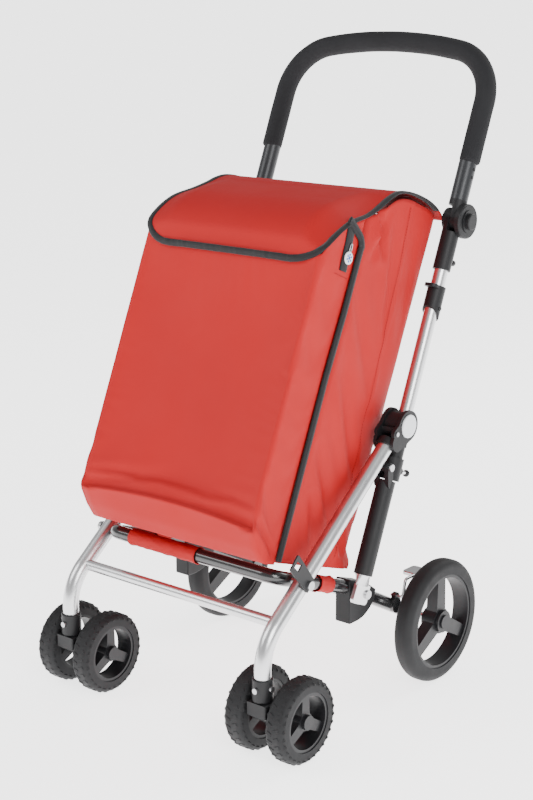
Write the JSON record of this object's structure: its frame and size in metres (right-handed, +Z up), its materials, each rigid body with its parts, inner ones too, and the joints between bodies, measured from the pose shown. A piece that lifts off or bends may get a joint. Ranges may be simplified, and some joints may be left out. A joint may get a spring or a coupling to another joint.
{
  "type": "folding shopping trolley",
  "caption": "Folding shopping trolley: soft bag with lid flap on a tube frame, folding handle, legs and platform, big rear wheels and twin swivel casters.",
  "frame": {"origin": "on the floor, under the middle of the bounding box", "axes": "+Z up, front towards -Y, the trolley's handle leans towards +Y, the zip side of the bag towards +X"},
  "size_m": [0.5018, 0.6136, 1.0143],
  "materials": {
    "tube_aluminium": "satin",
    "tube_black": "gloss",
    "steel": "satin",
    "chrome": "polished",
    "plastic_black": "matte",
    "plastic_white": "gloss",
    "handle_grey": "satin",
    "foam": "matte",
    "tyre_rubber": "matte",
    "wheel_plastic": "satin",
    "bag_fabric": "matte",
    "board": "matte"
  },
  "bodies": {
    "frame": {"uprights": "tube_aluminium", "stub_sleeves": "plastic_black", "handle_sockets": "plastic_black", "hook_clips": "plastic_black", "frame_screws": "steel", "hinge_cores": "plastic_black", "hinge_pins": "steel", "collars": "plastic_black", "bag_shell": "bag_fabric", "bag_pocket": "bag_fabric", "bag_board": "board"},
    "handle": {"handle_tube": "handle_grey", "grip_foam": "foam", "handle_knuckles": "plastic_black", "handle_pins": "steel", "joint_covers": "plastic_black", "handle_screws": "steel"},
    "legs": {"leg_hinges": "plastic_black", "hinge_caps": "plastic_white", "front_legs": "tube_aluminium", "leg_crossbar": "tube_aluminium", "latch_plate": "plastic_black", "rail_pivots": "steel", "leg_bolts": "steel", "caster_sockets": "plastic_black"},
    "platform": {"platform_bar": "tube_black", "rear_arms": "tube_black", "foot_brackets": "plastic_black", "rear_axle": "steel", "platform_straps": "bag_fabric"},
    "links": {"link_tubes": "tube_aluminium", "link_sleeves": "plastic_black", "link_heads": "plastic_black", "link_bolts": "steel"},
    "flap": {"bag_flap": "bag_fabric"},
    "zip": {"zip_pull": "plastic_white"},
    "button_left": {"fold_button_left": "plastic_black"},
    "plunger_left": {"plunger_pin_left": "chrome", "plunger_knob_left": "plastic_black"},
    "brake_left": {"brake_lever_left": "steel"},
    "caster_left": {"caster_fork_left": "plastic_black", "caster_axle_left": "steel"},
    "rear_wheel_left": {"rear_tyre_left": "tyre_rubber", "rear_hub_left": "wheel_plastic"},
    "caster_wheel_left_inner": {"caster_tyre_left_inner": "tyre_rubber", "caster_hub_left_inner": "wheel_plastic"},
    "caster_wheel_left_outer": {"caster_tyre_left_outer": "tyre_rubber", "caster_hub_left_outer": "wheel_plastic"},
    "button_right": {"fold_button_right": "plastic_black"},
    "plunger_right": {"plunger_pin_right": "chrome", "plunger_knob_right": "plastic_black"},
    "brake_right": {"brake_lever_right": "steel"},
    "caster_right": {"caster_fork_right": "plastic_black", "caster_axle_right": "steel"},
    "rear_wheel_right": {"rear_tyre_right": "tyre_rubber", "rear_hub_right": "wheel_plastic"},
    "caster_wheel_right_inner": {"caster_tyre_right_inner": "tyre_rubber", "caster_hub_right_inner": "wheel_plastic"},
    "caster_wheel_right_outer": {"caster_tyre_right_outer": "tyre_rubber", "caster_hub_right_outer": "wheel_plastic"}
  },
  "joints": [
    {"name": "leg_fold", "type": "hinge", "parent": "frame", "child": "legs", "pos_m": [0, 0.04373, 0.43767], "axis": [-1, 0, 0], "range_deg": [0, 105], "deforming": ["bag_shell", "bag_pocket", "bag_board", "bag_flap", "zip_pull"]},
    {"name": "rail_fold", "type": "hinge", "parent": "legs", "child": "platform", "pos_m": [0, -0.1933, 0.2485], "axis": [1, 0, 0], "range_deg": [0, 29.7]},
    {"name": "link_fold", "type": "hinge", "parent": "frame", "child": "links", "pos_m": [0, 0.00622, 0.37935], "axis": [-1, 0, 0], "range_deg": [0, 135.6]},
    {"name": "handle_fold", "type": "hinge", "parent": "frame", "child": "handle", "pos_m": [0, 0.18642, 0.7348], "axis": [-1, 0, 0], "range_deg": [0, 125]},
    {"name": "flap_lift", "type": "hinge", "parent": "frame", "child": "flap", "pos_m": [0, 0.17916, 0.73818], "axis": [-1, 0, 0], "range_deg": [0, 100]},
    {"name": "zip_slide", "type": "slide", "parent": "frame", "child": "zip", "axis": [0, 0.3872, 0.922], "range_m": [0, 0.035]},
    {"name": "button_left_press", "type": "slide", "parent": "handle", "child": "button_left", "axis": [1, 0, 0], "range_m": [0, 0.0025], "stiffness_N_per_m": 600, "springref_m": -0.002},
    {"name": "plunger_left_pull", "type": "slide", "parent": "frame", "child": "plunger_left", "axis": [0, 0.922, -0.3872], "range_m": [0, 0.006], "stiffness_N_per_m": 800, "springref_m": -0.003},
    {"name": "brake_left_press", "type": "hinge", "parent": "platform", "child": "brake_left", "pos_m": [-0.18, 0.0707, 0.147], "axis": [-1, 0, 0], "range_deg": [0, 10]},
    {"name": "caster_left_swivel", "type": "hinge", "parent": "legs", "child": "caster_left", "pos_m": [-0.196, -0.2813, 0.094], "axis": [0, 0, 1], "continuous": true},
    {"name": "rear_wheel_left_spin", "type": "hinge", "parent": "platform", "child": "rear_wheel_left", "pos_m": [-0.2188, 0.1257, 0.1], "axis": [1, 0, 0], "continuous": true},
    {"name": "caster_wheel_left_inner_spin", "type": "hinge", "parent": "caster_left", "child": "caster_wheel_left_inner", "pos_m": [-0.1576, -0.2433, 0.0635], "axis": [1, 0, 0], "continuous": true},
    {"name": "caster_wheel_left_outer_spin", "type": "hinge", "parent": "caster_left", "child": "caster_wheel_left_outer", "pos_m": [-0.2344, -0.2433, 0.0635], "axis": [1, 0, 0], "continuous": true},
    {"name": "button_right_press", "type": "slide", "parent": "handle", "child": "button_right", "axis": [-1, 0, 0], "range_m": [0, 0.0025], "stiffness_N_per_m": 600, "springref_m": -0.002},
    {"name": "plunger_right_pull", "type": "slide", "parent": "frame", "child": "plunger_right", "axis": [0, 0.922, -0.3872], "range_m": [0, 0.006], "stiffness_N_per_m": 800, "springref_m": -0.003},
    {"name": "brake_right_press", "type": "hinge", "parent": "platform", "child": "brake_right", "pos_m": [0.18, 0.0707, 0.147], "axis": [-1, 0, 0], "range_deg": [0, 10]},
    {"name": "caster_right_swivel", "type": "hinge", "parent": "legs", "child": "caster_right", "pos_m": [0.196, -0.2813, 0.094], "axis": [0, 0, 1], "continuous": true},
    {"name": "rear_wheel_right_spin", "type": "hinge", "parent": "platform", "child": "rear_wheel_right", "pos_m": [0.2188, 0.1257, 0.1], "axis": [1, 0, 0], "continuous": true},
    {"name": "caster_wheel_right_inner_spin", "type": "hinge", "parent": "caster_right", "child": "caster_wheel_right_inner", "pos_m": [0.1576, -0.2433, 0.0635], "axis": [1, 0, 0], "continuous": true},
    {"name": "caster_wheel_right_outer_spin", "type": "hinge", "parent": "caster_right", "child": "caster_wheel_right_outer", "pos_m": [0.2344, -0.2433, 0.0635], "axis": [1, 0, 0], "continuous": true}
  ],
  "couplings": [
    {"joint": "rail_fold", "follows": "leg_fold", "ratio": 0.282},
    {"joint": "link_fold", "follows": "leg_fold", "ratio": 1.29}
  ]
}
